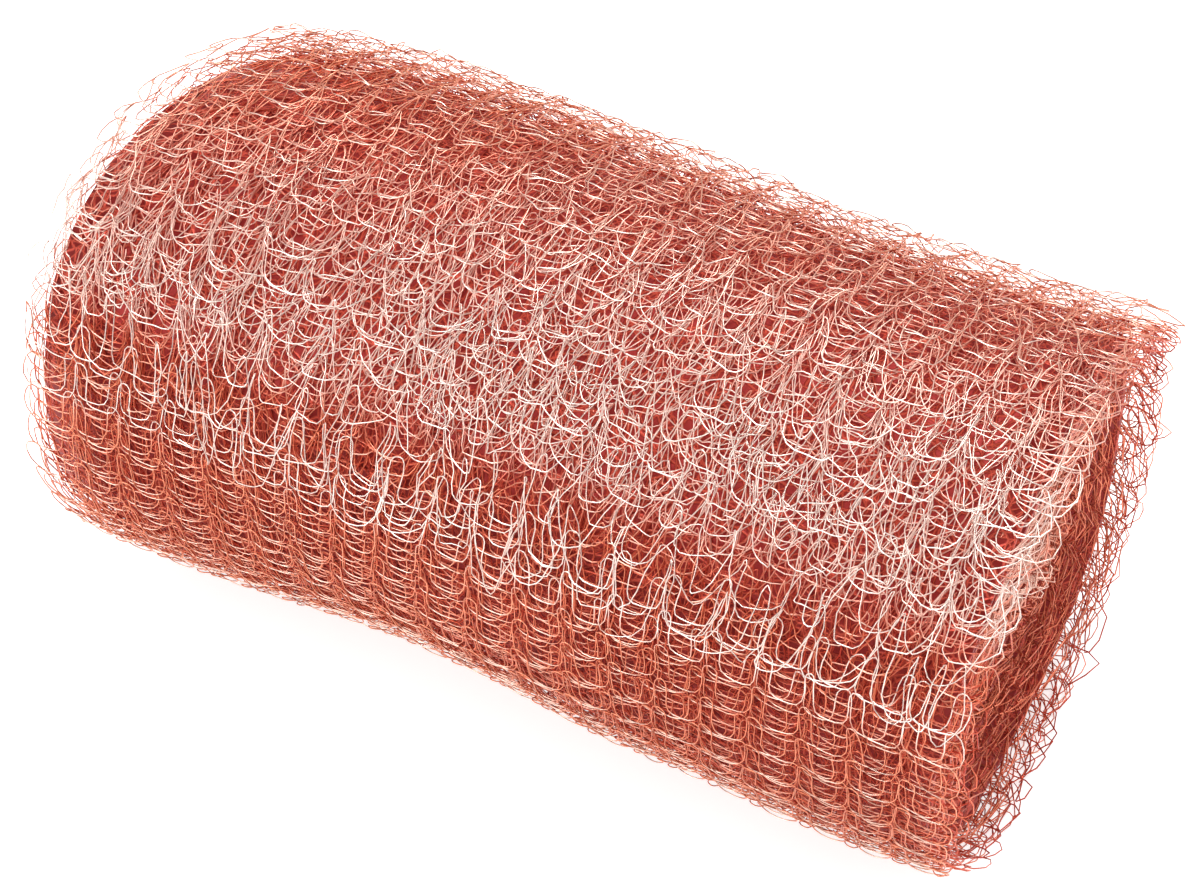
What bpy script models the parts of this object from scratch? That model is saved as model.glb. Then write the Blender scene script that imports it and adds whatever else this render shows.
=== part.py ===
"""Copper mesh roll.

A tube knitted from fine copper wire is pressed flat into a band and wound on itself with no core.
The roll lies on its side, along X, on the flat spot that its own weight presses into it.
One solid holds the whole spiral. Its outermost turn is a net of knitted bars, open right through
between them, and ends in a row of loose loops across the front.
Lengths are in metres and angles in radians. The floor is at Z = 0.
"""

import math

import bmesh
import bpy

# The band
BAND_WIDTH = 0.127  # across the flattened tube, which is the length of the roll
BAND_THICKNESS = 0.0013  # both layers of the tube
TURN_GAP = 0.0004  # free space between the wires of one turn and the next turn
OUTER_RADIUS = 0.0379  # from the middle of the spiral to the band's outer face at its free end
EYE_RADIUS = 0.0042  # least radius of the band's outer face, at its inner end
FREE_END_ANGLE = math.radians(26.0)  # corners of the free end, above the horizontal at the front
FREE_END_SAG = 0.004  # how much farther the middle of the free end hangs down
SLOW_WANDER = 0.0017  # how far the band's edges wander in over several turns
SLOW_WANDER_TURNS = 2.7  # and over how many
QUICK_WANDER = 0.0007  # how far they wander in within one turn
QUICK_WANDER_TURNS = 0.43  # and over which part of it

# The knit
WALE_PITCH = 0.00635  # width of one loop, along the roll
COURSE_PITCH = 0.0052  # height of one loop, round the roll
KNIT_HEIGHT = 0.0008  # how far the wire stands proud of the openings beside it
SCALLOP_DEPTH = 0.0026  # how far the loose loops reach past the last course
SCALLOP_FACETS = 4  # straight facets that round each loose loop
OPENING_WALES = 2  # from one opening to the next across the band, with the bar between them
OPENING_COURSES = 4  # and from one row of openings to the next

# The roll as it lies
REST_WIDTH = 0.020  # width of the flat spot under it
FACET_LENGTH = 0.0066  # straight facets round the outermost of the plain turns
ROUND_FACES = math.radians(16.0)  # edges flatter than this are shaded round

COPPER_COLOUR = (0.72, 0.27, 0.17, 1.0)
COPPER_ROUGHNESS = 0.35

FULL_TURN = 2.0 * math.pi
TURN_PITCH = BAND_THICKNESS + KNIT_HEIGHT + TURN_GAP
TURNS = (OUTER_RADIUS - EYE_RADIUS) / TURN_PITCH
WALES = max(4, round(BAND_WIDTH / WALE_PITCH))
# The knit goes on for one course under the free end
KNIT_START = TURNS - 1.0 - COURSE_PITCH / (FULL_TURN * OUTER_RADIUS)
COURSES = max(8, round((TURNS - KNIT_START) * FULL_TURN * OUTER_RADIUS / COURSE_PITCH))


def face_radius(turn):
    """Radius of the band's outer face, so many turns along it, before the roll is laid down."""
    return OUTER_RADIUS - (TURNS - turn) * TURN_PITCH


def angle_at(turn):
    """Angle above the horizontal, seen from the front. The band runs down the front, under and up."""
    return FREE_END_ANGLE + (TURNS - turn) * FULL_TURN


def bottom_radius():
    """Radius of the outermost turn where it points straight down."""
    back_from_end = (1.5 * math.pi - FREE_END_ANGLE) / FULL_TURN
    return face_radius(TURNS - back_from_end % 1.0)


AXIS_HEIGHT = math.sqrt(bottom_radius() ** 2 - (REST_WIDTH / 2.0) ** 2)


def floor_radius(turn):
    """How far the floor lets a point at this angle stand from the axis."""
    down = -math.sin(angle_at(turn))
    return AXIS_HEIGHT / down if down > 0.0 else math.inf


def place(turn, x, lift=0.0):
    """A point of the outer face. The flat spot presses every turn above it by the same share."""
    turns_outside = math.floor(max(0.0, TURNS - turn))
    outermost = face_radius(turn) + turns_outside * TURN_PITCH
    floor = floor_radius(turn)
    radius = min(face_radius(turn) * min(1.0, floor / outermost) + lift, floor)
    angle = angle_at(turn)
    return (x, -radius * math.cos(angle), AXIS_HEIGHT + radius * math.sin(angle))


def band_edge(turn, side):
    """Where the edge of the band lies along X, for side -1 or 1. Each edge wanders by itself."""
    slow = SLOW_WANDER * (1.0 + math.sin(FULL_TURN * turn / SLOW_WANDER_TURNS + side))
    quick = QUICK_WANDER * (1.0 + math.sin(FULL_TURN * turn / QUICK_WANDER_TURNS + side))
    return side * (BAND_WIDTH - slow - quick) / 2.0


def across(turn, share):
    """Place along X at a share of the band's width, from 0 to 1."""
    left, right = band_edge(turn, -1), band_edge(turn, 1)
    return left + (right - left) * share


def presses_floor(turn):
    """Whether the band lies on the floor here, or within one course of it."""
    margin = COURSE_PITCH / OUTER_RADIUS
    from_bottom = abs((angle_at(turn) - 1.5 * math.pi + math.pi) % FULL_TURN - math.pi)
    return from_bottom < math.asin(REST_WIDTH / 2.0 / bottom_radius()) + margin


def course_turn(course):
    """Turns along the band at the start of a course of the outermost turn."""
    return KNIT_START + (TURNS - KNIT_START) * course / COURSES


def plain_row(bm, turn):
    """The two edges of a plain inner turn."""
    return [bm.verts.new(place(turn, across(turn, share))) for share in (0.0, 1.0)]


def knit_row(bm, course):
    """One course of the knit: wire and opening in turn, two places to a loop."""
    turn = course_turn(course)
    row = []
    for half_wale in range(2 * WALES + 1):
        lift = KNIT_HEIGHT if course > 0 and on_wire(half_wale, course) else 0.0
        row.append(bm.verts.new(place(turn, across(turn, half_wale / (2 * WALES)), lift)))
    return row


def scalloped_row(bm):
    """The free end. It sags at the middle, and each loop hangs from it as a half round."""
    points = SCALLOP_FACETS * WALES
    row = []
    for i in range(points + 1):
        loop = SCALLOP_DEPTH * abs(math.sin(math.pi * i / SCALLOP_FACETS))
        reach = loop + FREE_END_SAG * math.sin(math.pi * i / points)
        turn = TURNS + reach / (FULL_TURN * OUTER_RADIUS)
        row.append(bm.verts.new(place(turn, across(TURNS, i / points))))
    return row


def on_wire(half_wale, course):
    """Whether this place of the knit is on the wire. The others are the middles of openings."""
    return (half_wale + course) % 2 == 0


def on_bar(half_wale, course):
    """Whether this cell, half a loop wide and one course high, is on one of the bars of the net."""
    edge = half_wale == 2 * WALES - 1 or course >= COURSES - 3
    return edge or half_wale % (2 * OPENING_WALES) == 0 or course % OPENING_COURSES == 0


def is_open(half_wale, course):
    """Whether the band is open right through in this cell. The flat spot stays closed."""
    return not on_bar(half_wale, course) and not presses_floor(course_turn(course))


def knit_strip(bm, lower, upper, course):
    """Two triangles to each cell, folded along the wire, which runs from high place to high place."""
    for i in range(2 * WALES):
        if is_open(i, course):
            continue
        if on_wire(i, course):
            halves = ((lower[i], upper[i + 1], lower[i + 1]), (lower[i], upper[i], upper[i + 1]))
        else:
            halves = ((lower[i], upper[i], lower[i + 1]), (lower[i + 1], upper[i], upper[i + 1]))
        for corners in halves:
            bm.faces.new(corners)


def join_strip(bm, lower, upper):
    """Fills the strip between two rows that differ in the number of their points."""
    i = j = 0
    last_i, last_j = len(lower) - 1, len(upper) - 1
    while i < last_i or j < last_j:
        along_lower = j == last_j or (i < last_i and (i + 1) * last_j <= (j + 1) * last_i)
        if along_lower:
            bm.faces.new((lower[i], upper[j], lower[i + 1]))
            i += 1
        else:
            bm.faces.new((lower[i], upper[j], upper[j + 1]))
            j += 1


def band_sheet():
    """The outer face of the whole band, from its inner end to the loose loops, facing out."""
    bm = bmesh.new()
    steps_per_turn = round(FULL_TURN * OUTER_RADIUS / FACET_LENGTH)
    plain_steps = math.ceil(KNIT_START * steps_per_turn)
    row = plain_row(bm, 0.0)
    for steps_left in range(plain_steps - 1, 0, -1):
        following = plain_row(bm, KNIT_START - steps_left / steps_per_turn)
        bm.faces.new((row[0], following[0], following[1], row[1]))
        row = following
    following = knit_row(bm, 0)
    join_strip(bm, row, following)
    for course in range(COURSES - 1):
        row = following
        following = knit_row(bm, course + 1)
        knit_strip(bm, row, following, course)
    join_strip(bm, following, scalloped_row(bm))
    middles_of_openings = [v for v in bm.verts if not v.link_faces]
    bmesh.ops.delete(bm, geom=middles_of_openings, context="VERTS")
    mesh = bpy.data.meshes.new("mesh_roll")
    bm.to_mesh(mesh)
    bm.free()
    return mesh


def centre_on_floor(mesh):
    """Moves the origin to the middle of the roll's outline on the floor."""
    for axis in (0, 1):
        places = [v.co[axis] for v in mesh.vertices]
        middle = (min(places) + max(places)) / 2.0
        for v in mesh.vertices:
            v.co[axis] -= middle


def copper():
    material = bpy.data.materials.new("copper_wire")
    material.use_nodes = True
    shader = material.node_tree.nodes["Principled BSDF"]
    shader.inputs["Base Color"].default_value = COPPER_COLOUR
    shader.inputs["Metallic"].default_value = 1.0
    shader.inputs["Roughness"].default_value = COPPER_ROUGHNESS
    return material


def mesh_roll():
    mesh = band_sheet()
    centre_on_floor(mesh)
    mesh.shade_smooth()
    mesh.set_sharp_from_angle(angle=ROUND_FACES)
    mesh.materials.append(copper())
    roll = bpy.data.objects.new("mesh_roll", mesh)
    bpy.context.scene.collection.objects.link(roll)
    wall = roll.modifiers.new("band_thickness", "SOLIDIFY")
    wall.thickness = BAND_THICKNESS
    wall.offset = -1.0
    wall.use_even_offset = True
    return roll


for existing in list(bpy.data.objects):
    bpy.data.objects.remove(existing, do_unlink=True)
mesh_roll()
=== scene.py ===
import bpy, math
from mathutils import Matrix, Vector, noise


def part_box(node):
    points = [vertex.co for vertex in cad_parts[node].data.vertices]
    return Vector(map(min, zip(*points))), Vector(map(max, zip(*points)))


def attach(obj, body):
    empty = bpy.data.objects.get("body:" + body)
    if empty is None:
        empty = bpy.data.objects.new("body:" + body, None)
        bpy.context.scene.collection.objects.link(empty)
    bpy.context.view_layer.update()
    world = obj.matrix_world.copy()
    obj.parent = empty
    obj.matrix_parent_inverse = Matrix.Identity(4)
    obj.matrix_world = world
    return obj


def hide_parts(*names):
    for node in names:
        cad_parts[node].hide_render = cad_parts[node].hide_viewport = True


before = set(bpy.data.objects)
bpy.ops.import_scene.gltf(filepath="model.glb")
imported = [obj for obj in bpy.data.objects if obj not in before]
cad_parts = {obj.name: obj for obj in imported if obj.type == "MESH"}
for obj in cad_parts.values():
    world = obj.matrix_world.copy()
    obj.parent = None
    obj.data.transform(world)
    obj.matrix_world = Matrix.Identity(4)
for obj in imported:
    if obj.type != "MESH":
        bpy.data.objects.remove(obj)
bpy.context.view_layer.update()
lowCorner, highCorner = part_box("mesh_roll")

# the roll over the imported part. Lengths are in metres, and angles above the horizontal at the front
roll = {
    "length": highCorner.x - lowCorner.x,
    "freeEndRadius": (highCorner.y - lowCorner.y) / 2 + 0.0005,     # the free end stands a little farther out
    "axisY": -0.0006,
    "axisZ": 0.0348,
    "freeEndAngle": math.radians(26),
    "freeEndSag": math.radians(7),          # how much lower its middle hangs
    "sagTurns": 0.2,                        # the stretch of band that sags with it
    "leftReach": 0.0020,                    # how far the band's left edge reaches out at the front
    "leftReachAngle": math.radians(10),
    "rightInset": 0.0007,                   # how far its right edge stands back all round
    "rightReach": 0.0022,                   # and how far it reaches out above the front
    "rightReachAngle": math.radians(70),
    "pressedTogether": 0.60,                # how much closer the outer turns lie right underneath
    "pressedDepth": 0.006,                  # the outer turns are those down to this depth
    "shoulderDrop": 0.0028,                 # how far the far left shoulder is pressed in
    "shoulderReach": 0.010,                 # the length along the roll in which that dies away
    "shoulderInset": 0.0022,                # how far the band's left edge stands back there
    "shoulderAngle": math.radians(125),
    "dish": 0.0030,                         # how far the turns inside stand back at the right end
    "dishFrom": 0.006,                      # it starts this deep in the roll
    "dishWidth": 0.008,                     # and is complete this much deeper
}
# where handling has pushed the outer turns out or in, by place along the roll and angle
bulges = (
    {"x": -0.030, "angle": math.radians(136), "lift": 0.0013, "reach": 0.030},
    {"x": 0.028, "angle": math.radians(136), "lift": -0.0008, "reach": 0.016},
    {"x": -0.056, "angle": math.radians(-44), "lift": 0.0007, "reach": 0.012},
    {"x": -0.010, "angle": math.radians(-44), "lift": -0.0010, "reach": 0.022},
    {"x": 0.044, "angle": math.radians(-44), "lift": 0.0012, "reach": 0.020},
)
# noise that leaves the band uneven: its edges wander and its face swells
unevenness = {
    "wanderRate": 1.3,                      # per turn
    "leftPattern": (3.7, 0),                # each edge reads the noise at a place of its own
    "rightPattern": (9.1, 4),
    "swellLength": 0.028,                   # along the roll, in metres
    "swellRound": 1.4,                      # radius of the circle in the noise that goes round the roll
    "calmOffset": 1.5,                      # with the rate, this leaves a third less swell right underneath
    "calmRate": 2,
}


def linear(hexColour):
    # sRGB hex to the linear colour that shaders use
    channels = [int(hexColour[i:i + 2], 16) / 255 for i in (1, 3, 5)]
    return [c / 12.92 if c <= 0.04045 else ((c + 0.055) / 1.055) ** 2.4 for c in channels] + [1.0]


def addNode(tree, kind, feeds=(), **settings):
    # one node with its settings. Feeds are values, sockets or nodes, by place or by name
    made = tree.nodes.new(kind)
    for name, value in settings.items():
        setattr(made, name, value)
    for key, value in (feeds.items() if isinstance(feeds, dict) else enumerate(feeds)):
        if isinstance(value, bpy.types.Node):
            value = value.outputs[0]
        if isinstance(value, bpy.types.NodeSocket):
            tree.links.new(value, made.inputs[key])
        else:
            made.inputs[key].default_value = value
    return made


# Drawn copper wire: the die leaves it bright and smooth, so each wire carries a sharp pale streak. A band
# round the roll, where the lamps shine back to the eye, is a painted highlight in a paler colour. The rest is
# painted browner, partly painted shade and partly random tarnish patches
def drawnCopperWire(name, look):
    material = bpy.data.materials.new(name)
    material.use_nodes = True
    tree = material.node_tree
    shader = tree.nodes["Principled BSDF"]
    place = addNode(tree, "ShaderNodeTexCoord").outputs["Object"]
    patches = addNode(tree, "ShaderNodeTexNoise", {
        "Vector": place, "Scale": 1 / look["patchSize"], "Detail": 2.0})
    fromAxis = addNode(tree, "ShaderNodeSeparateXYZ", (
        addNode(tree, "ShaderNodeVectorMath", (place, (0, roll["axisY"], roll["axisZ"])),
                operation="SUBTRACT"),))
    forwards = addNode(tree, "ShaderNodeMath", (fromAxis.outputs[1], -1.0), operation="MULTIPLY")
    angle = addNode(tree, "ShaderNodeMath", (fromAxis.outputs[2], forwards), operation="ARCTAN2")
    above = addNode(tree, "ShaderNodeMapRange", (angle, *look["litBandFrom"], look["litBandBelow"]),
                    interpolation_type="SMOOTHSTEP")
    # towards the left end the painted lit band stops lower down
    lowered = addNode(tree, "ShaderNodeMapRange", (
        fromAxis.outputs[0], 0.0, -roll["length"] / 2, 0.0, look["litBandLowered"]))
    leaning = addNode(tree, "ShaderNodeMath", (angle, lowered), operation="ADD")
    below = addNode(tree, "ShaderNodeMapRange", (leaning, *look["litBandUpTo"]),
                    interpolation_type="SMOOTHSTEP")
    litBand = addNode(tree, "ShaderNodeMath", (above, below), operation="MULTIPLY")
    # outside the painted lit band the colour turns to painted shade, broken by random patches of tarnish
    tarnishAndShade = addNode(tree, "ShaderNodeMath", (patches.outputs[0], litBand), operation="SUBTRACT")
    tarnishAndShadeShare = addNode(tree, "ShaderNodeMapRange", (tarnishAndShade, *look["tarnishAndShadeRange"]))
    outside = addNode(tree, "ShaderNodeMix", {
        0: tarnishAndShadeShare, 6: linear(look["bright"]), 7: linear(look["tarnishAndShade"])}, data_type="RGBA")
    # painted highlight and shade: the feet of the loops get the palest colour, and legs and heads a redder
    # one for the shade and copper reflections that fall on them
    foot = addNode(tree, "ShaderNodeAttribute", attribute_name="foot").outputs["Fac"]
    legShadeShare = addNode(tree, "ShaderNodeMapRange", (foot, *look["footEnds"]))
    # less of the painted leg shade shows in the painted lit band
    legShadeInLitBand = addNode(tree, "ShaderNodeMapRange", (litBand, 0.0, 1.0, 1.0, look["legShadeWhereLit"]))
    legShadeAmount = addNode(tree, "ShaderNodeMath", (legShadeShare, legShadeInLitBand), operation="MULTIPLY")
    colour = addNode(tree, "ShaderNodeMix", {
        0: legShadeAmount, 6: outside.outputs[2], 7: linear(look["legs"])}, data_type="RGBA")
    rough = addNode(tree, "ShaderNodeMapRange", (
        patches.outputs[0], *look["patchRange"], look["smooth"], look["dull"]))
    tree.links.new(colour.outputs[2], shader.inputs["Base Color"])
    tree.links.new(rough.outputs[0], shader.inputs["Roughness"])
    shader.inputs["Metallic"].default_value = look["metallic"]
    return material


# Drawn copper wire wound deep inside, seen through the turns over it: strands cross strands. Its colours are
# painted shade:
# copper lit by copper looks a deep red, and between the strands it is painted darker still
def woundCopper(name, look):
    material = bpy.data.materials.new(name)
    material.use_nodes = True
    tree = material.node_tree
    shader = tree.nodes["Principled BSDF"]
    # metres across the band and along it
    place = addNode(tree, "ShaderNodeVectorMath", (
        addNode(tree, "ShaderNodeTexCoord").outputs["UV"], (look["width"], look["unrolled"], 0)),
        operation="MULTIPLY")
    bend = addNode(tree, "ShaderNodeTexNoise", {
        "Vector": place, "Scale": 1 / look["bendSize"], "Detail": 1.0})
    bent = addNode(tree, "ShaderNodeVectorMath", (
        bend.outputs["Color"], (look["bend"],) * 3, place), operation="MULTIPLY_ADD")
    strands = None
    for spacing in look["loopSizes"]:
        cells = addNode(tree, "ShaderNodeTexVoronoi", {"Vector": bent, "Scale": 1 / spacing},
                        feature="DISTANCE_TO_EDGE", voronoi_dimensions="2D")
        line = addNode(tree, "ShaderNodeMapRange", (
            cells.outputs["Distance"], 0.0, look["wire"] / spacing, 1.0, 0.0))
        if strands is None:
            strands = line
        else:
            strands = addNode(tree, "ShaderNodeMath", (strands, line), operation="MAXIMUM")
    # painted shade: darker red between the strands, a lighter red on them
    colour = addNode(tree, "ShaderNodeMix", {
        0: strands, 6: linear(look["between"]), 7: linear(look["strand"])}, data_type="RGBA")
    relief = addNode(tree, "ShaderNodeBump", {
        "Height": strands, "Distance": look["wire"], "Strength": 1.0})
    tree.links.new(colour.outputs[2], shader.inputs["Base Color"])
    tree.links.new(relief.outputs[0], shader.inputs["Normal"])
    shader.inputs["Metallic"].default_value = look["metallic"]
    shader.inputs["Roughness"].default_value = look["roughness"]
    return material


# what all the wires share. Angles are above the horizontal at the front
wireFinish = {
    "patchSize": 0.008,                     # patches of smoother and duller wire
    "smooth": 0.24,
    "dull": 0.38,
    "patchRange": (0.3, 0.7),               # the noise values that count as smooth and as dull
    "tarnishAndShadeRange": (-0.6, 0.6),              # patch noise less the painted lit band, from all bright to all tarnish and painted shade
    "litBandBelow": 0.06,                     # how much of the painted highlight still shows under the painted lit band
    "litBandUpTo": (math.radians(142), math.radians(50)),     # it fades from the second angle up to the first
    "litBandLowered": math.radians(26),       # how much lower that is at the left end
    "footEnds": (0.94, 0.65),               # foot values: the legs' colour begins, and is full
    "legShadeWhereLit": 0.15,                  # how much of the painted leg shade shows in the painted lit band
}
# the painted lit band begins under the free end for the outermost turn, and farther up for those under it
litBandAtFreeEnd = (math.radians(8), math.radians(16))
litBandUnderIt = (math.radians(27), math.radians(44))
# painted shade: each turn in is given a redder, darker colour and less metallic, for the shade and the light
# from the copper over it that fall deeper in the roll. The last look is for the edges of the turns inside
wireLooks = (
    {"bright": "#FFF4EC", "tarnishAndShade": "#FFD4C0", "legs": "#F09674", "metallic": 0.95},
    {"bright": "#FFF2EA", "tarnishAndShade": "#FFC8B0", "legs": "#E8825F", "metallic": 0.90},
    {"bright": "#FFF0E6", "tarnishAndShade": "#FFB296", "legs": "#DE6C4E", "metallic": 0.85},
    {"bright": "#FFE8DC", "tarnishAndShade": "#FA987A", "legs": "#D45A40", "metallic": 0.80},
    {"bright": "#FFD6C6", "tarnishAndShade": "#F07252", "legs": "#CA4830", "metallic": 0.70},
    {"bright": "#FCB098", "tarnishAndShade": "#E45A3E", "legs": "#BC3A26", "metallic": 0.60},
    {"bright": "#FFD8C6", "tarnishAndShade": "#F09A7C", "legs": "#E07A5C", "metallic": 0.85},
)
wires = []
for depth, look in enumerate(wireLooks):
    litBandFrom = litBandUnderIt if depth else litBandAtFreeEnd
    wires.append(drawnCopperWire(f"drawnCopperWire{depth}", {**wireFinish, **look, "litBandFrom": litBandFrom}))
woundWire = woundCopper("woundCopperWire", {
    "between": "#962420", "strand": "#EC6650", "metallic": 0.5, "roughness": 0.5,
    "loopSizes": (0.0040, 0.0026, 0.0018),  # three patterns of loops lie over one another
    "wire": 0.00022,
    "bendSize": 0.003, "bend": 0.0016,      # how often and how far the strands bend
    "width": roll["length"],
    "unrolled": 3.8,                        # right for the outermost turn inside, which shows the most
})
print("copper materials", len(wires) + 1)


def bandPoint(turnsIn, share, wound):
    # a point of the band's middle, so many turns in from the free end and so far across it
    turnsIn = turnsIn + wound["firstTurn"]
    sagging = max(0.0, 1 - max(0.0, turnsIn) / roll["sagTurns"])
    sag = roll["freeEndSag"] * sagging * math.sin(math.pi * share)
    angle = roll["freeEndAngle"] + 2 * math.pi * turnsIn - sag
    outermost = roll["freeEndRadius"] - wound["outset"] - wound["pitch"] * (turnsIn % 1)
    radius = roll["freeEndRadius"] - wound["outset"] - wound["pitch"] * turnsIn
    radius -= wound["standOff"] * min(1.0, max(0.0, turnsIn))
    # the floor presses the turns flat and together
    down = -math.sin(angle)
    if down > 0:
        pressedTurns = min(roll["freeEndRadius"] - radius, roll["pressedDepth"])
        radius += roll["pressedTogether"] * down * pressedTurns
        radius *= min(1.0, roll["axisZ"] / down / outermost)
        radius = min(radius, (roll["axisZ"] - wound["clearance"]) / down)
    # the edges of the band
    leftNoise = noise.noise(Vector((turnsIn * unevenness["wanderRate"], *unevenness["leftPattern"])))
    rightNoise = noise.noise(Vector((turnsIn * unevenness["wanderRate"], *unevenness["rightPattern"])))
    left = -roll["length"] / 2 + wound["edgeInset"] + wound["edgeWander"] * leftNoise
    left -= wound["leftOut"] + roll["leftReach"] * max(0.0, math.cos(angle - roll["leftReachAngle"]))
    left += roll["shoulderInset"] * max(0.0, math.cos(angle - roll["shoulderAngle"])) ** 3
    right = roll["length"] / 2 - wound["edgeInset"] - roll["rightInset"] + wound["edgeWander"] * rightNoise
    dished = min(1.0, max(0.0, (roll["freeEndRadius"] - radius - roll["dishFrom"]) / roll["dishWidth"]))
    reaching = roll["rightReach"] * max(0.0, math.cos(angle - roll["rightReachAngle"]))
    right += reaching - roll["dish"] * dished
    x = left + (right - left) * share
    # swells, the pressed shoulder and the bulges
    swell = noise.noise(Vector((x / unevenness["swellLength"], math.cos(angle) * unevenness["swellRound"],
                                math.sin(angle) * unevenness["swellRound"])))
    free = 1 - math.exp(-((unevenness["calmOffset"] - down) * unevenness["calmRate"]))
    radius += wound["swell"] * swell * free
    fromLeft = max(0.0, x + roll["length"] / 2)
    pressed = max(0.0, math.cos(angle - roll["shoulderAngle"])) * math.exp(-fromLeft / roll["shoulderReach"])
    radius -= roll["shoulderDrop"] * pressed
    for bulge in bulges:
        facing = max(0.0, math.cos(angle - bulge["angle"]))
        radius += bulge["lift"] * facing ** 2 * math.exp(-((x - bulge["x"]) / bulge["reach"]) ** 2)
    return Vector((x, roll["axisY"] - radius * math.cos(angle), roll["axisZ"] + radius * math.sin(angle)))


def bandSheet(name, wound):
    # the band's middle surface, with a UV map that has its width along U and its length along V
    rows = math.ceil(wound["stepsRound"] * wound["turns"])
    columns = wound["stepsAcross"]
    points, faces, uvs = [], [], []
    for row in range(rows + 1):
        turnsIn = wound["turns"] * (1 - row / rows) - wound["overhang"]
        for column in range(columns + 1):
            points.append(bandPoint(turnsIn, column / columns, wound))
            uvs.append((column / columns, row / rows))
    for row in range(rows):
        for column in range(columns):
            first = row * (columns + 1) + column
            faces.append((first, first + columns + 1, first + columns + 2, first + 1))
    mesh = bpy.data.meshes.new(name)
    mesh.from_pydata(points, [], faces)
    layer = mesh.uv_layers.new(name="UVMap")
    for loop in mesh.loops:
        layer.data[loop.index].uv = uvs[loop.vertex_index]
    sheet = bpy.data.objects.new(name, mesh)
    bpy.context.scene.collection.objects.link(sheet)
    return sheet


# what goes the same way in every turn of the knit
knitPattern = {
    "neatStretch": (0.17, 0.32),            # shares of a turn where it starts to be untidy, and is all untidy
    "openCourses": (1.7, 0.9),              # courses from the end: the last one starts to open, and is open
    "openFootWidth": 0.18,                  # in wales
    "openLoopHeight": 0.95,                 # in courses
    "legAfterFoot": 0.25,                   # the leg comes a quarter of a loop after the middle of the foot
    "turnOver": 0.2,                        # how soon the wire changes layers at the band's edges
    "layerShare": 0.5,                      # each layer lies this share of their gap from the middle
    "shiftFade": (0.5, 0.3),                # distances from the band's middle: no wale shift, and all of it
    "kinkScale": 2.4,                       # noise per loop
    "tangleScale": 0.8,
    "driftScale": 140.0,                    # noise per metre
    "swayScale": 38.0,
    "swayShare": (1, 0.25, 0.25),           # sways slide the knit along the roll, and hardly lift it
    "swayCentre": (0, 0.375, 0.375),        # brings their mean back to a half
    "springScale": 1.1,                     # noise per course
    "springRange": (0.3, 0.7, 0.1, 1.8),    # two noise values, and the share of a bow that each gives
}


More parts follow.
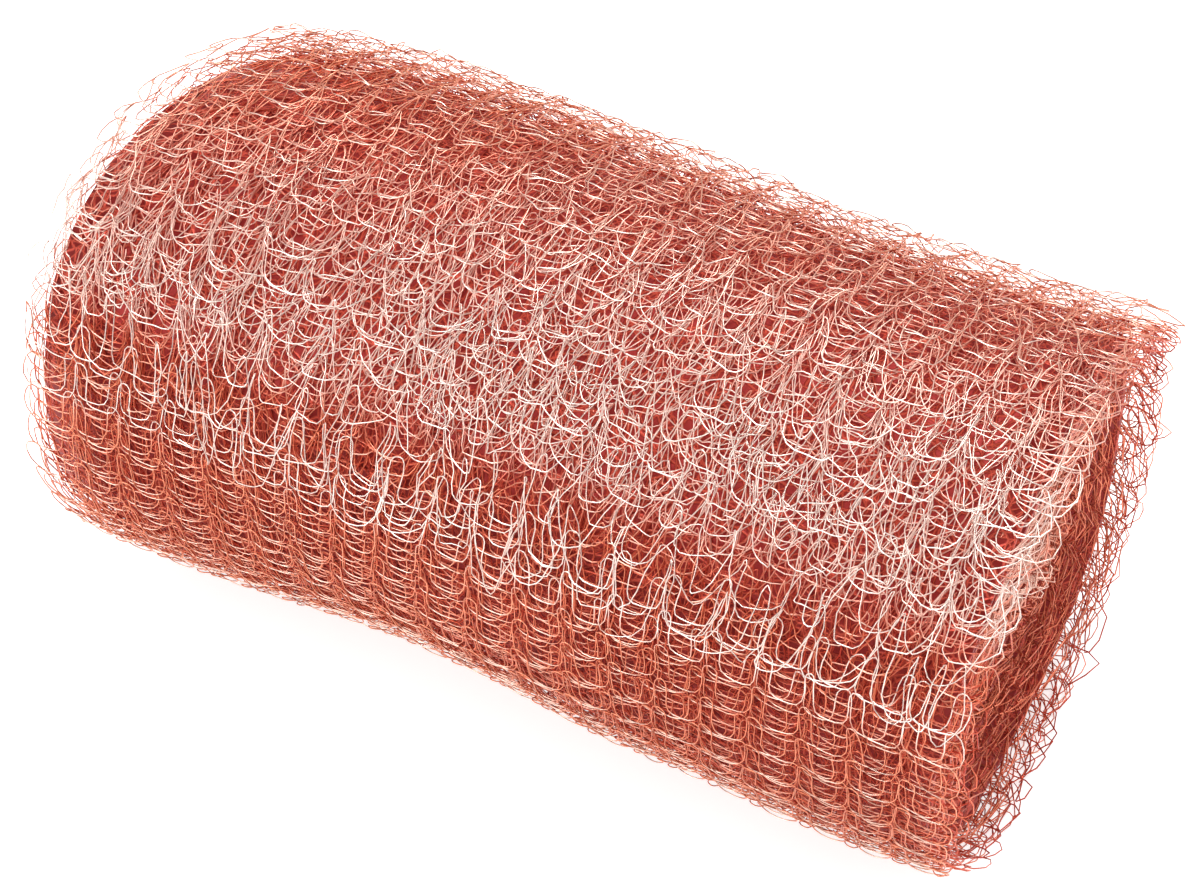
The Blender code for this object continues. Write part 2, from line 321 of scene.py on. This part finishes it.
# Geometry Nodes: one wire knitted round and round a flattened tube, laid on the band's middle surface.
# Each loop's foot is wide and its head narrow, and the tube turns over at both edges of the band
def knittedBandTree(pattern):
    tree = bpy.data.node_groups.new("knittedBand", "GeometryNodeTree")
    tree.is_modifier = True
    tree.interface.new_socket("Geometry", in_out="OUTPUT", socket_type="NodeSocketGeometry")
    inputs = {
        "Object": ("Band",),
        "Int": ("Wales", "Points Per Loop"),
        "Float": ("Courses", "Margin", "Course Shift", "Loop Height", "Loop Bulge", "Neat Bulge", "Neatness",
                  "Foot Width", "Loose Foot Width", "Wale Shift", "Foot Flatness", "Squareness", "Loop Depth",
                  "Edge Bulge", "Layer Gap", "Held Down", "Kink", "Drift", "Sway", "Loose End",
                  "Loose Courses", "Tangle", "Edge Share", "Wire Radius", "Seed"),
        "Material": ("Wire",),
    }
    for kind, names in inputs.items():
        for name in names:
            tree.interface.new_socket(name, in_out="INPUT", socket_type="NodeSocket" + kind)
    given = addNode(tree, "NodeGroupInput").outputs

    # which loop and course each point of the wire is in, and how far round its loop
    around = addNode(tree, "ShaderNodeMath", (given["Wales"], 2.0), operation="MULTIPLY")
    loops = addNode(tree, "ShaderNodeMath", (around, given["Courses"]), operation="MULTIPLY")
    count = addNode(tree, "ShaderNodeMath", (loops, given["Points Per Loop"]), operation="MULTIPLY")
    index = addNode(tree, "GeometryNodeInputIndex")
    loopAt = addNode(tree, "ShaderNodeMath", (index, given["Points Per Loop"]), operation="DIVIDE")
    course = addNode(tree, "ShaderNodeMath", (loopAt, around), operation="DIVIDE")
    angle = addNode(tree, "ShaderNodeMath", (loopAt, 2 * math.pi), operation="MULTIPLY")
    # the first stretch of each turn lies neat, under the free end
    stretch = addNode(tree, "ShaderNodeMath", (course, given["Courses"]), operation="DIVIDE")
    untidy = addNode(tree, "ShaderNodeMapRange", (stretch, *pattern["neatStretch"]),
                     interpolation_type="SMOOTHSTEP")
    footWidthHere = addNode(tree, "ShaderNodeMapRange", (
        untidy, 0.0, 1.0, given["Foot Width"], given["Loose Foot Width"]))
    roundness = addNode(tree, "ShaderNodeMapRange", (
        untidy, 0.0, 1.0, given["Neat Bulge"], given["Loop Bulge"]))
    disorder = addNode(tree, "ShaderNodeMapRange", (untidy, 0.0, 1.0, given["Neatness"], 1.0))

    # the last course hangs open: its feet are wider and reach farther
    openFrom = addNode(tree, "ShaderNodeMath", (given["Courses"], pattern["openCourses"][0]),
                       operation="SUBTRACT")
    openTo = addNode(tree, "ShaderNodeMath", (given["Courses"], pattern["openCourses"][1]),
                     operation="SUBTRACT")
    opening = addNode(tree, "ShaderNodeMapRange", (course, openFrom, openTo, 0.0, given["Loose End"]))
    footWidth = addNode(tree, "ShaderNodeMapRange", (
        opening, 0.0, 1.0, footWidthHere, pattern["openFootWidth"]))
    reach = addNode(tree, "ShaderNodeMapRange", (
        opening, 0.0, 1.0, given["Loop Height"], pattern["openLoopHeight"]))

    # along the course: a wave for the foot, and one twice as quick for the loop's round sides
    twice = addNode(tree, "ShaderNodeMath", (angle, 2.0), operation="MULTIPLY")
    thrice = addNode(tree, "ShaderNodeMath", (angle, 3.0), operation="MULTIPLY")
    bulgeWave = addNode(tree, "ShaderNodeMath", (twice,), operation="SINE")
    footWave = addNode(tree, "ShaderNodeMath", (angle,), operation="SINE")
    bulge = addNode(tree, "ShaderNodeMath", (bulgeWave, roundness, loopAt), operation="MULTIPLY_ADD")
    slid = addNode(tree, "ShaderNodeMath", (footWave, footWidth, bulge), operation="MULTIPLY_ADD")
    # the tube turns over at the legs of loops
    legAt = addNode(tree, "ShaderNodeMath", (footWidth, pattern["legAfterFoot"]), operation="ADD")
    fromFold = addNode(tree, "ShaderNodeMath", (slid, legAt), operation="SUBTRACT")
    tube = addNode(tree, "ShaderNodeMath", (fromFold, given["Wales"]), operation="DIVIDE")
    acrossBand = addNode(tree, "ShaderNodeMath", (tube, 1.0), operation="PINGPONG")

    # along the band: a wave from head to foot, made squarer
    riseWave = addNode(tree, "ShaderNodeMath", (angle,), operation="COSINE")
    depthWave = addNode(tree, "ShaderNodeMath", (twice,), operation="COSINE")
    squared = addNode(tree, "ShaderNodeMath", (depthWave, given["Foot Flatness"], riseWave),
                      operation="MULTIPLY_ADD")
    thirdWave = addNode(tree, "ShaderNodeMath", (thrice,), operation="COSINE")
    squarer = addNode(tree, "ShaderNodeMath", (thirdWave, given["Squareness"], squared),
                      operation="MULTIPLY_ADD")
    height = addNode(tree, "ShaderNodeMath", (squarer, reach, course), operation="MULTIPLY_ADD")
    shifted = addNode(tree, "ShaderNodeMath", (height, given["Course Shift"]), operation="ADD")
    raised = addNode(tree, "ShaderNodeMath", (shifted, given["Margin"]), operation="ADD")
    coursesInAll = addNode(tree, "ShaderNodeMath", (given["Margin"], 2.0, given["Courses"]),
                           operation="MULTIPLY_ADD")
    alongBand = addNode(tree, "ShaderNodeMath", (raised, coursesInAll), operation="DIVIDE")

    # which layer of the flattened tube, and how deep in it the wire lies: legs lie deepest
    tubeAngle = addNode(tree, "ShaderNodeMath", (tube, math.pi), operation="MULTIPLY")
    tubeWave = addNode(tree, "ShaderNodeMath", (tubeAngle,), operation="SINE")
    layer = addNode(tree, "ShaderNodeMapRange", (
        tubeWave, -pattern["turnOver"], pattern["turnOver"], -pattern["layerShare"], pattern["layerShare"]))
    layerDepth = addNode(tree, "ShaderNodeMath", (layer, given["Layer Gap"]), operation="MULTIPLY")
    depth = addNode(tree, "ShaderNodeMath", (depthWave, given["Loop Depth"], layerDepth),
                    operation="MULTIPLY_ADD")

    # where the knit is untidy its wales lie beside those of the turn below, less so towards the band's edges
    fromMiddle = addNode(tree, "ShaderNodeMath", (acrossBand, 0.5), operation="SUBTRACT")
    offMiddle = addNode(tree, "ShaderNodeMath", (fromMiddle,), operation="ABSOLUTE")
    shiftShare = addNode(tree, "ShaderNodeMapRange", (offMiddle, *pattern["shiftFade"]),
                         interpolation_type="SMOOTHSTEP")
    waleShift = addNode(tree, "ShaderNodeMath", (given["Wale Shift"], given["Wales"]), operation="DIVIDE")
    shiftHere = addNode(tree, "ShaderNodeMath", (waleShift, untidy), operation="MULTIPLY")
    beside = addNode(tree, "ShaderNodeMath", (shiftHere, shiftShare, acrossBand), operation="MULTIPLY_ADD")
    here = addNode(tree, "ShaderNodeCombineXYZ", (beside, alongBand))

    # the same place on the band itself, and out from it by the depth
    bandInfo = addNode(tree, "GeometryNodeObjectInfo", {"Object": given["Band"]})
    uvMap = addNode(tree, "GeometryNodeInputNamedAttribute", {"Name": "UVMap"}, data_type="FLOAT_VECTOR")
    onBand = addNode(tree, "GeometryNodeSampleUVSurface", {
        "Mesh": bandInfo.outputs["Geometry"], "Value": addNode(tree, "GeometryNodeInputPosition"),
        "UV Map": uvMap, "Sample UV": here}, data_type="FLOAT_VECTOR")
    fromAxis = addNode(tree, "ShaderNodeVectorMath", (onBand, (0, roll["axisY"], roll["axisZ"])),
                       operation="SUBTRACT")
    outwards = addNode(tree, "ShaderNodeVectorMath", (fromAxis, (0, 1, 1)), operation="MULTIPLY")
    normal = addNode(tree, "ShaderNodeVectorMath", (outwards,), operation="NORMALIZE")
    placed = addNode(tree, "ShaderNodeVectorMath", (normal, depth, onBand), operation="MULTIPLY_ADD")

    # where the tube turns over, the legs of its loops spring out in bows past the band's edge
    halfWale = addNode(tree, "ShaderNodeMath", (0.5, given["Wales"]), operation="DIVIDE")
    edgeFrom = addNode(tree, "ShaderNodeMath", (0.5, halfWale), operation="SUBTRACT")
    atEdge = addNode(tree, "ShaderNodeMapRange", (offMiddle, edgeFrom, 0.5, 0.0, given["Edge Bulge"]))
    springPlace = addNode(tree, "ShaderNodeCombineXYZ", (given["Seed"], course))
    spring = addNode(tree, "ShaderNodeTexNoise", {
        "Vector": springPlace, "Scale": pattern["springScale"], "Detail": 0.0})
    uneven = addNode(tree, "ShaderNodeMapRange", (spring.outputs[0], *pattern["springRange"]))
    legWave = addNode(tree, "ShaderNodeMath", (footWave, footWave), operation="MULTIPLY")
    bow = addNode(tree, "ShaderNodeMath", (legWave, uneven), operation="MULTIPLY")
    side = addNode(tree, "ShaderNodeMath", (fromMiddle,), operation="SIGN")
    bowed = addNode(tree, "ShaderNodeMath", (bow, side), operation="MULTIPLY")
    outBy = addNode(tree, "ShaderNodeMath", (bowed, atEdge), operation="MULTIPLY")
    outwardBow = addNode(tree, "ShaderNodeCombineXYZ", (outBy,))
    sprung = addNode(tree, "ShaderNodeVectorMath", (placed, outwardBow), operation="ADD")

    # each wire is kinked by itself, the loose courses tangle, and whole patches of the knit drift and sway
    kinkPlace = addNode(tree, "ShaderNodeCombineXYZ", (loopAt, given["Seed"]))
    kinks = addNode(tree, "ShaderNodeTexNoise", {
        "Vector": kinkPlace, "Scale": pattern["kinkScale"], "Detail": 2.0})
    kink = addNode(tree, "ShaderNodeMath", (given["Kink"], disorder), operation="MULTIPLY")
    looseFrom = addNode(tree, "ShaderNodeMath", (given["Courses"], given["Loose Courses"]),
                        operation="SUBTRACT")
    loosened = addNode(tree, "ShaderNodeMapRange", (course, looseFrom, given["Courses"], 0.0, 1.0))
    tangles = addNode(tree, "ShaderNodeTexNoise", {
        "Vector": kinkPlace, "Scale": pattern["tangleScale"], "Detail": 1.0})
    tangle = addNode(tree, "ShaderNodeMath", (loosened, given["Tangle"]), operation="MULTIPLY")
    drifts = addNode(tree, "ShaderNodeTexNoise", {
        "Vector": onBand, "W": given["Seed"], "Scale": pattern["driftScale"], "Detail": 1.0},
        noise_dimensions="4D")
    drift = addNode(tree, "ShaderNodeMath", (given["Drift"], disorder), operation="MULTIPLY")
    sways = addNode(tree, "ShaderNodeTexNoise", {
        "Vector": onBand, "W": given["Seed"], "Scale": pattern["swayScale"], "Detail": 1.0},
        noise_dimensions="4D")
    swayed = addNode(tree, "ShaderNodeVectorMath", (
        sways.outputs["Color"], pattern["swayShare"], pattern["swayCentre"]), operation="MULTIPLY_ADD")
    moved = None
    for shifts, amount in ((kinks.outputs["Color"], kink), (tangles.outputs["Color"], tangle),
                           (drifts.outputs["Color"], drift), (swayed, given["Sway"])):
        centred = addNode(tree, "ShaderNodeVectorMath", (shifts, (0.5, 0.5, 0.5)), operation="SUBTRACT")
        step = addNode(tree, "ShaderNodeVectorMath", {0: centred, "Scale": amount}, operation="SCALE")
        if moved is None:
            moved = step
        else:
            moved = addNode(tree, "ShaderNodeVectorMath", (moved, step), operation="ADD")
    # the turns over and under hold each wire down, so it strays less outwards than sideways
    outward = addNode(tree, "ShaderNodeVectorMath", (moved, normal), operation="DOT_PRODUCT")
    heldBack = addNode(tree, "ShaderNodeMath", (outward.outputs["Value"], given["Held Down"]),
                       operation="MULTIPLY")
    held = addNode(tree, "ShaderNodeVectorMath", {0: normal, "Scale": heldBack}, operation="SCALE")
    strayed = addNode(tree, "ShaderNodeVectorMath", (moved, held), operation="SUBTRACT")
    led = addNode(tree, "ShaderNodeVectorMath", (sprung, strayed), operation="ADD")

    # nothing sinks into what the roll lies on
    parts = addNode(tree, "ShaderNodeSeparateXYZ", (led,))
    aboveFloor = addNode(tree, "ShaderNodeMath", (parts.outputs[2], given["Wire Radius"]),
                         operation="MAXIMUM")
    settled = addNode(tree, "ShaderNodeCombineXYZ", (parts.outputs[0], parts.outputs[1], aboveFloor))
    points = addNode(tree, "GeometryNodePoints", {"Count": count, "Position": settled})
    # the material is told where on its loop each point is: 1 at the foot, 0 at the legs, -1 at the head
    marked = addNode(tree, "GeometryNodeStoreNamedAttribute", {
        "Geometry": points, "Name": "foot", "Value": riseWave}, data_type="FLOAT", domain="POINT")

    # inside the roll only the loops near the two edges are made, as one run of wire to each turn-over
    inner = addNode(tree, "ShaderNodeMath", (0.5, given["Edge Share"]), operation="SUBTRACT")
    tooFarIn = addNode(tree, "ShaderNodeMath", (offMiddle, inner), operation="LESS_THAN")
    kept = addNode(tree, "GeometryNodeDeleteGeometry", {"Geometry": marked, "Selection": tooFarIn},
                   domain="POINT")
    turnOver = addNode(tree, "ShaderNodeMath", (tube,), operation="ROUND")
    edgesOnly = addNode(tree, "ShaderNodeMath", (given["Edge Share"], 0.5), operation="LESS_THAN")
    run = addNode(tree, "ShaderNodeMath", (turnOver, edgesOnly), operation="MULTIPLY")
    wires = addNode(tree, "GeometryNodePointsToCurves", {
        "Points": kept, "Curve Group ID": run, "Weight": index})
    section = addNode(tree, "GeometryNodeCurvePrimitiveCircle", {
        "Resolution": 3, "Radius": given["Wire Radius"]})
    tubes = addNode(tree, "GeometryNodeCurveToMesh", {
        "Curve": wires, "Profile Curve": section.outputs[0], "Fill Caps": True})
    smooth = addNode(tree, "GeometryNodeSetShadeSmooth", {"Geometry": tubes, "Shade Smooth": True})
    whole = addNode(tree, "GeometryNodeRealizeInstances", {"Geometry": smooth})
    finished = addNode(tree, "GeometryNodeSetMaterial", {"Geometry": whole, "Material": given["Wire"]})
    addNode(tree, "NodeGroupOutput", {"Geometry": finished})
    return tree


knitTree = knittedBandTree(knitPattern)
courseHeight = 0.0052
# the loop's shape in every turn: widths in wales, heights in courses, and depths in metres
loopShape = {
    "Wales": 20, "Loop Height": 0.58, "Loop Bulge": 0.02, "Neat Bulge": 0.08, "Foot Width": 0.11,
    "Loose Foot Width": 0.13, "Foot Flatness": -0.1, "Squareness": -0.07, "Loop Depth": 0.00025,
    "Edge Bulge": 0.0008, "Neatness": 0.28, "Held Down": 0.55,
}


def knit(name, look):
    # lays the knit on a stretch of the band and keeps it as a plain mesh
    middleTurn = look["firstTurn"] + look["turns"] / 2
    circumference = 2 * math.pi * (roll["freeEndRadius"] - look["outset"] - look["pitch"] * middleTurn)
    courses = circumference * look["turns"] / courseHeight
    wound = dict(look)
    wound["overhang"] = look["margin"] * look["turns"] / courses
    wound["turns"] = look["turns"] * (1 + 2 * look["margin"] / courses)
    band = bandSheet(name + "Band", wound)
    holder = bpy.data.objects.new(name + "Knit", bpy.data.meshes.new(name))
    bpy.context.scene.collection.objects.link(holder)
    nodes = holder.modifiers.new("knit", "NODES")
    nodes.node_group = knitTree
    values = {
        **loopShape, "Band": band, "Courses": courses, "Margin": look["margin"],
        "Points Per Loop": look["points"], "Course Shift": look["courseShift"],
        "Wale Shift": look["waleShift"], "Layer Gap": look["layerGap"], "Kink": look["kink"],
        "Drift": look["drift"], "Sway": look["sway"], "Loose End": look["looseEnd"],
        "Loose Courses": look["looseCourses"], "Tangle": look["tangle"], "Edge Share": look["edgeShare"],
        "Wire Radius": look["wire"] / 2, "Seed": look["seed"], "Wire": look["material"],
    }
    for socket in knitTree.interface.items_tree:
        if socket.in_out == "INPUT":
            nodes[socket.identifier] = values[socket.name]
    evaluated = holder.evaluated_get(bpy.context.evaluated_depsgraph_get())
    mesh = bpy.data.meshes.new_from_object(evaluated)
    mesh.name = name
    piece = bpy.data.objects.new(name, mesh)
    bpy.context.scene.collection.objects.link(piece)
    bpy.data.objects.remove(holder)
    bpy.data.objects.remove(band)
    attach(piece, "root")
    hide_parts("mesh_roll")
    print(name, "courses", round(courses, 1), "triangles", sum(len(p.vertices) - 2 for p in mesh.polygons))
    return piece


# the outer turns, one piece to each. Those farther in have fewer points to a loop, and the last two
# have a thicker wire
outerTurns = {
    "turns": 1.0,
    "pitch": 0.0007,                        # from one turn to the next
    "standOff": 0.0013,                     # and how much more the free end stands off the turn below
    "outset": 0.0,                          # how far in the outermost of them lies
    "edgeWander": 0.0022,
    "edgeInset": 0.0004,                    # how far both edges stand back
    "leftOut": 0.0,                         # how much less the left one does
    "swell": 0.0012,
    "clearance": 0.0,                       # above the floor
    "stepsRound": 72,                       # of the band's surface, to a turn
    "stepsAcross": 24,
    "margin": 2.0,                          # courses of bare band past both ends of the knit
    "layerGap": 0.0006,
    "waleShift": 0.0,
    "edgeShare": 1.0,                       # the share of the band, in from each edge, that is knitted
    "wire": 0.00019,
    "kink": 0.0034,
    "drift": 0.0044,
    "sway": 0.010,
    "looseEnd": 0.0,
    "looseCourses": 16.0,                   # the last ones, where the knit tangles
    "tangle": 0.0,
}
turnLooks = (
    {"points": 16, "courseShift": 0.0, "sway": 0.007, "looseEnd": 1.0, "tangle": 0.012},
    {"points": 15, "courseShift": 0.31, "waleShift": 0.5, "sway": 0.008, "tangle": 0.010},
    {"points": 14, "courseShift": 0.77, "waleShift": -0.25, "tangle": 0.008},
    {"points": 12, "courseShift": 0.13, "waleShift": 0.25},
    {"points": 10, "courseShift": 0.58, "waleShift": -0.4, "wire": 0.00022},
    {"points": 9, "courseShift": 0.92, "waleShift": 0.1, "wire": 0.00024},
)
seeds = {"first": 1.7, "step": 3.1}
for number, turnLook in enumerate(turnLooks):
    knit(f"knitTurn{number + 1}", {
        **outerTurns, **turnLook, "material": wires[number], "firstTurn": number,
        "seed": seeds["first"] + seeds["step"] * number})

# the turns inside: only their edges show, at both ends of the roll
eyeRadius = 0.0035
edgeLooks = {
    **outerTurns, "edgeWander": 0.0026, "edgeInset": 0.0020, "swell": 0.0006, "edgeShare": 0.05,
    "firstTurn": len(turnLooks), "points": 9, "wire": 0.00024, "pitch": 0.00125, "outset": -0.0034,
    "courseShift": 0.4, "kink": 0.0016, "sway": 0.004, "material": wires[-1], "seed": 31.3,
}
edgeRadius = roll["freeEndRadius"] - edgeLooks["standOff"] - edgeLooks["outset"]
edgeLooks["turns"] = (edgeRadius - eyeRadius) / edgeLooks["pitch"] - edgeLooks["firstTurn"]
knit("innerEdgeLoops", edgeLooks)

# what shows of the turns inside between the wires: the wound band itself, down to the eye
woundInside = {
    "pitch": 0.0016, "standOff": 0.0, "outset": 0.0052, "edgeWander": 0.0016, "edgeInset": 0.0032,
    "swell": 0.0006, "leftOut": 0.0032, "firstTurn": 0.0, "overhang": 0.0, "clearance": 0.0020,
    "stepsRound": 48, "stepsAcross": 14, "thickness": 0.0010,
}
woundInside["turns"] = (roll["freeEndRadius"] - woundInside["outset"] - eyeRadius) / woundInside["pitch"]
inside = bandSheet("innerTurns", woundInside)
inside.data.materials.append(woundWire)
inside.data.shade_smooth()
wall = inside.modifiers.new("bandThickness", "SOLIDIFY")
wall.thickness = woundInside["thickness"]
wall.offset = 0.0
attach(inside, "root")
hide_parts("mesh_roll")
print("innerTurns", "turns", round(woundInside["turns"], 1), "faces", len(inside.data.polygons))

studio = {
    "floor": "#E0E0E0", "floorRoughness": 0.9, "floorRadius": 1.6, "floorSides": 64,
    "glow": 0.6,                            # of the floor, for what looks at it
    "overhead": "#FFFFFF", "sides": "#E0E0E0", "low": "#6E6E6E",
    "sidesFade": (0.35, 0.9),               # how far along the roll's direction the sides' light comes in
    "topFade": (0.0, 0.5),                  # how far up or back the overhead light does
}
bpy.ops.mesh.primitive_circle_add(
    vertices=studio["floorSides"], radius=studio["floorRadius"], fill_type="NGON", location=(0, 0, 0))
floor = bpy.context.object
floor.name = "floor"
# Matt white paper, pressed and uncoated, so that it takes a soft shadow and shows no shine
paper = bpy.data.materials.new("whitePaper")
paper.use_nodes = True
paperTree = paper.node_tree
paperShader = paperTree.nodes["Principled BSDF"]
paperShader.inputs["Base Color"].default_value = linear(studio["floor"])
paperShader.inputs["Roughness"].default_value = studio["floorRoughness"]
# lit through from below as a light table is, for what looks at it or reflects it
rays = addNode(paperTree, "ShaderNodeLightPath").outputs
seen = addNode(paperTree, "ShaderNodeMath", (rays["Is Camera Ray"], rays["Is Glossy Ray"]), operation="ADD")
seenThrough = addNode(paperTree, "ShaderNodeMath", (seen, rays["Is Transmission Ray"]), operation="ADD")
glow = addNode(paperTree, "ShaderNodeMath", (seenThrough, studio["glow"]),
               operation="MULTIPLY", use_clamp=True)
lightTable = addNode(paperTree, "ShaderNodeEmission", {"Strength": glow})
both = addNode(paperTree, "ShaderNodeAddShader", (paperShader, lightTable))
paperTree.links.new(both.outputs[0], paperTree.nodes["Material Output"].inputs["Surface"])
floor.data.materials.append(paper)

# soft white light from above and behind, a little greyer along the roll's direction, and darker low
# at the front
world = bpy.data.worlds.new("studio")
bpy.context.scene.world = world
world.use_nodes = True
skyTree = world.node_tree
direction = addNode(skyTree, "ShaderNodeTexCoord").outputs["Generated"]
directions = addNode(skyTree, "ShaderNodeSeparateXYZ", (direction,)).outputs
alongRoll = addNode(skyTree, "ShaderNodeMath", (directions[0],), operation="ABSOLUTE")
atSides = addNode(skyTree, "ShaderNodeMapRange", (alongRoll, *studio["sidesFade"]),
                  interpolation_type="SMOOTHSTEP")
upOrBehind = addNode(skyTree, "ShaderNodeMath", (directions[2], directions[1]), operation="MAXIMUM")
atTop = addNode(skyTree, "ShaderNodeMapRange", (upOrBehind, *studio["topFade"]),
                interpolation_type="SMOOTHSTEP")
level = addNode(skyTree, "ShaderNodeMix", {
    0: atTop, 6: linear(studio["low"]), 7: linear(studio["overhead"])}, data_type="RGBA")
sky = addNode(skyTree, "ShaderNodeMix", {
    0: atSides, 6: level.outputs[2], 7: linear(studio["sides"])}, data_type="RGBA")
skyTree.links.new(sky.outputs[2], skyTree.nodes["Background"].inputs["Color"])

lampAim = Vector((0, 0, 0.03))
lamps = (
    {"name": "keyLamp", "place": (-0.40, -0.75, 0.50), "size": 0.50, "power": 4.0},
    {"name": "topLamp", "place": (0.05, 0.20, 1.00), "size": 0.50, "power": 7.5},
)
for lamp in lamps:
    light = bpy.data.lights.new(lamp["name"], "AREA")
    light.size = lamp["size"]
    light.energy = lamp["power"]
    stand = bpy.data.objects.new(lamp["name"], light)
    bpy.context.scene.collection.objects.link(stand)
    stand.location = lamp["place"]
    stand.rotation_euler = (lampAim - stand.location).to_track_quat("-Z", "Y").to_euler()
print("studio floor, sky and lamps", len(lamps))

# the photograph's camera, fitted to the roll's outline
view = {
    "azimuth": math.radians(27.85), "elevation": math.radians(45.81), "distance": 0.3845,
    "lens": 88.83, "shiftX": -0.0046, "shiftY": -0.0163, "clipStart": 0.01,
}
camera = bpy.data.objects.new("camera", bpy.data.cameras.new("camera"))
bpy.context.scene.collection.objects.link(camera)
back = Vector((math.sin(view["azimuth"]) * math.cos(view["elevation"]),
               -math.cos(view["azimuth"]) * math.cos(view["elevation"]), math.sin(view["elevation"])))
camera.location = Vector((0, roll["axisY"], roll["axisZ"])) + back * view["distance"]
camera.rotation_euler = (-back).to_track_quat("-Z", "Y").to_euler()
camera.data.lens = view["lens"]
camera.data.shift_x = view["shiftX"]
camera.data.shift_y = view["shiftY"]
camera.data.clip_start = view["clipStart"]
bpy.context.scene.camera = camera
bpy.context.scene.view_settings.view_transform = "Standard"
print("camera lens", view["lens"])
